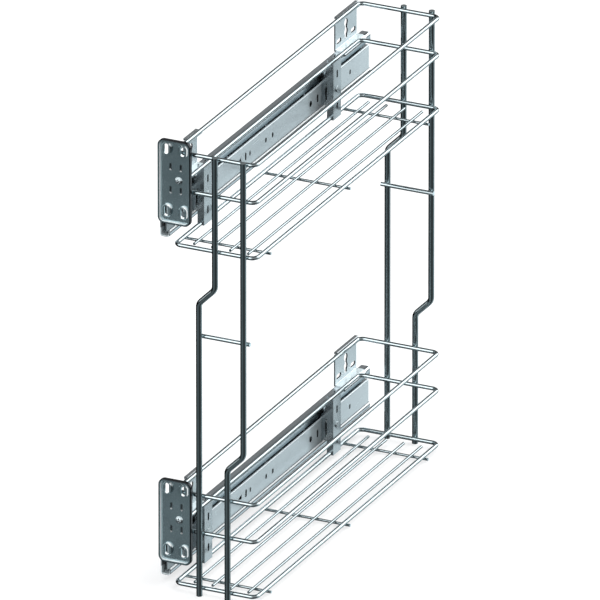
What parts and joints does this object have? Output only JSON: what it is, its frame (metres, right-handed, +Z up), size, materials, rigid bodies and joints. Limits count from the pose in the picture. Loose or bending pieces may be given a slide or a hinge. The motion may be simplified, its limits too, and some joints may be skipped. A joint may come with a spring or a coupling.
{
  "type": "pull-out cabinet organizer",
  "caption": "Tall narrow cabinet pull-out: wire baskets one above the other on ball-bearing side slides, joined by round posts, with plates for the cabinet door.",
  "frame": {"origin": "midway between the two fixing holes of the lower slide, on the cabinet wall", "axes": "+X from the wall to the basket, +Y from the door to the back of the cabinet, +Z up"},
  "size_m": [0.1113, 0.4689, 0.4685],
  "materials": {
    "zinc_sheet": "bright zinc plating, satin",
    "slide_steel": "zinc plated roll-formed steel",
    "chrome_wire": "polished chrome plating",
    "chrome_post": "polished chrome plating",
    "ball_steel": "polished hardened steel",
    "plate_steel": null,
    "rivet_steel": "plain zinc plated steel",
    "stop_rubber": "matte black rubber"
  },
  "bodies": {
    "wall_side": {"lower_outer_rail": "slide_steel", "lower_front_wall_bracket": "zinc_sheet", "lower_rear_wall_bracket": "zinc_sheet", "lower_rear_buffer": "stop_rubber", "upper_outer_rail": "slide_steel", "upper_front_wall_bracket": "zinc_sheet", "upper_rear_wall_bracket": "zinc_sheet", "upper_rear_buffer": "stop_rubber"},
    "basket": {"lower_inner_rail": "slide_steel", "lower_front_upright": "zinc_sheet", "lower_rear_upright": "zinc_sheet", "lower_upright_rivets": "rivet_steel", "lower_top_hoop": "chrome_wire", "lower_middle_hoop": "chrome_wire", "lower_bottom_hoop": "chrome_wire", "lower_cross_wires": "chrome_wire", "lower_floor_wires": "chrome_wire", "lower_door_plate": "plate_steel", "lower_door_carrier": "zinc_sheet", "lower_carrier_rivets": "rivet_steel", "lower_plate_screw": "rivet_steel", "upper_inner_rail": "slide_steel", "upper_front_upright": "zinc_sheet", "upper_rear_upright": "zinc_sheet", "upper_upright_rivets": "rivet_steel", "upper_top_hoop": "chrome_wire", "upper_middle_hoop": "chrome_wire", "upper_bottom_hoop": "chrome_wire", "upper_cross_wires": "chrome_wire", "upper_floor_wires": "chrome_wire", "upper_door_plate": "plate_steel", "upper_door_carrier": "zinc_sheet", "upper_carrier_rivets": "rivet_steel", "upper_plate_screw": "rivet_steel", "front_left_post": "chrome_post", "front_right_post": "chrome_post", "front_tie_rod": "chrome_wire", "rear_left_post": "chrome_post", "rear_right_post": "chrome_post", "rear_tie_rod": "chrome_wire"},
    "lower_middle": {"lower_middle_rail": "slide_steel"},
    "lower_outer_cage": {"lower_outer_ball_cage": "slide_steel", "lower_outer_balls": "ball_steel"},
    "lower_inner_cage": {"lower_inner_ball_cage": "slide_steel", "lower_inner_balls": "ball_steel"},
    "upper_middle": {"upper_middle_rail": "slide_steel"},
    "upper_outer_cage": {"upper_outer_ball_cage": "slide_steel", "upper_outer_balls": "ball_steel"},
    "upper_inner_cage": {"upper_inner_ball_cage": "slide_steel", "upper_inner_balls": "ball_steel"}
  },
  "joints": [
    {"name": "pull_out", "type": "slide", "parent": "wall_side", "child": "basket", "axis": [0, -1, 0], "range_m": [0, 0.42]},
    {"name": "lower_middle_slide", "type": "slide", "parent": "wall_side", "child": "lower_middle", "axis": [0, -1, 0], "range_m": [0, 0.21]},
    {"name": "lower_outer_cage_slide", "type": "slide", "parent": "wall_side", "child": "lower_outer_cage", "axis": [0, -1, 0], "range_m": [0, 0.105]},
    {"name": "lower_inner_cage_slide", "type": "slide", "parent": "wall_side", "child": "lower_inner_cage", "axis": [0, -1, 0], "range_m": [0, 0.315]},
    {"name": "upper_middle_slide", "type": "slide", "parent": "wall_side", "child": "upper_middle", "axis": [0, -1, 0], "range_m": [0, 0.21]},
    {"name": "upper_outer_cage_slide", "type": "slide", "parent": "wall_side", "child": "upper_outer_cage", "axis": [0, -1, 0], "range_m": [0, 0.105]},
    {"name": "upper_inner_cage_slide", "type": "slide", "parent": "wall_side", "child": "upper_inner_cage", "axis": [0, -1, 0], "range_m": [0, 0.315]}
  ],
  "couplings": [
    {"joint": "lower_middle_slide", "follows": "pull_out", "ratio": 0.5},
    {"joint": "lower_outer_cage_slide", "follows": "pull_out", "ratio": 0.25},
    {"joint": "lower_inner_cage_slide", "follows": "pull_out", "ratio": 0.75},
    {"joint": "upper_middle_slide", "follows": "pull_out", "ratio": 0.5},
    {"joint": "upper_outer_cage_slide", "follows": "pull_out", "ratio": 0.25},
    {"joint": "upper_inner_cage_slide", "follows": "pull_out", "ratio": 0.75}
  ]
}
